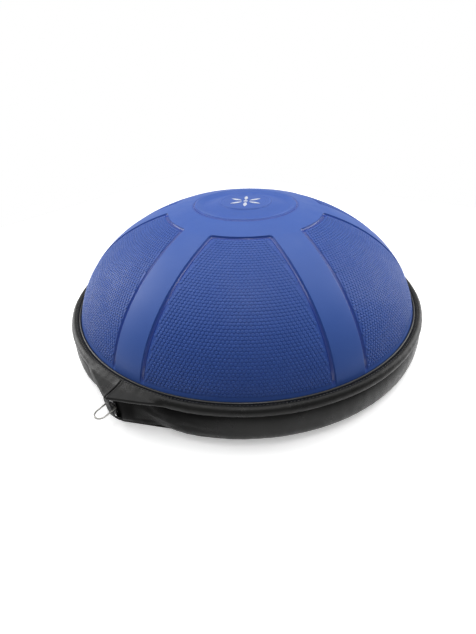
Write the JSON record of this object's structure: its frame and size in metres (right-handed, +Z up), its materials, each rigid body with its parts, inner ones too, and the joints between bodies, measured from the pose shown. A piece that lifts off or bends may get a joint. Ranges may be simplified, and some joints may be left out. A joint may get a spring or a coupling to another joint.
{
  "type": "balance dome trainer",
  "caption": "Air-filled ribbed half dome on a flat padded platform, with a leatherette rim cover, two pointed corner tabs and a swinging strap ring at each tab.",
  "frame": {"origin": "centre of the flat underside, on the floor", "axes": "+Z up through the dome's top, +Y and -Y towards the two corner tabs and their rings"},
  "size_m": [0.604, 0.6798, 0.2149],
  "materials": {
    "dome_pvc": "moulded PVC, satin, with fine raised grip cells on the panels",
    "chamber_pvc": "plain PVC sheet",
    "valve_plastic": "moulded",
    "plug_plastic": "moulded",
    "leatherette": "embossed PVC leatherette, satin",
    "piping": "leatherette-covered cord",
    "strap_web": "folded leatherette over webbing",
    "eva_pad": "EVA foam sheet",
    "pu_foam": "cut polyurethane foam",
    "plywood": "birch plywood, sanded",
    "mat_rubber": "moulded rubber",
    "stiff_sheet": "polypropylene sheet",
    "steel_wire": "nickel-plated wire",
    "steel_fixings": "zinc-plated",
    "silver_print": "silver pad print"
  },
  "bodies": {
    "trainer": {"dome_shell": "dome_pvc", "dome_floor": "chamber_pvc", "valve_body": "valve_plastic", "bladder_pad": "eva_pad", "base_board": "plywood", "platform_mat": "mat_rubber", "rim_foam": "pu_foam", "cover_top": "leatherette", "cover_side": "leatherette", "cover_bottom": "leatherette", "hem_piping": "piping", "corner_stiffeners": "stiff_sheet", "staples": "steel_fixings", "strap_screws": "steel_fixings", "corner_strap_front": "strap_web", "corner_strap_rear": "strap_web", "hub_badge": "silver_print"},
    "front_ring": {"strap_ring_front": "steel_wire"},
    "rear_ring": {"strap_ring_rear": "steel_wire"},
    "air_plug": {"valve_plug": "plug_plastic"}
  },
  "joints": [
    {"name": "front_ring_swing", "type": "hinge", "parent": "trainer", "child": "front_ring", "pos_m": [0, -0.3145, 0.036], "axis": [1, 0, 0], "range_deg": [-50, 80]},
    {"name": "rear_ring_swing", "type": "hinge", "parent": "trainer", "child": "rear_ring", "pos_m": [0, 0.3145, 0.036], "axis": [-1, 0, 0], "range_deg": [-50, 80]},
    {"name": "air_plug_pull", "type": "slide", "parent": "trainer", "child": "air_plug", "axis": [0, 0, -1], "range_m": [0, 0.028]}
  ]
}
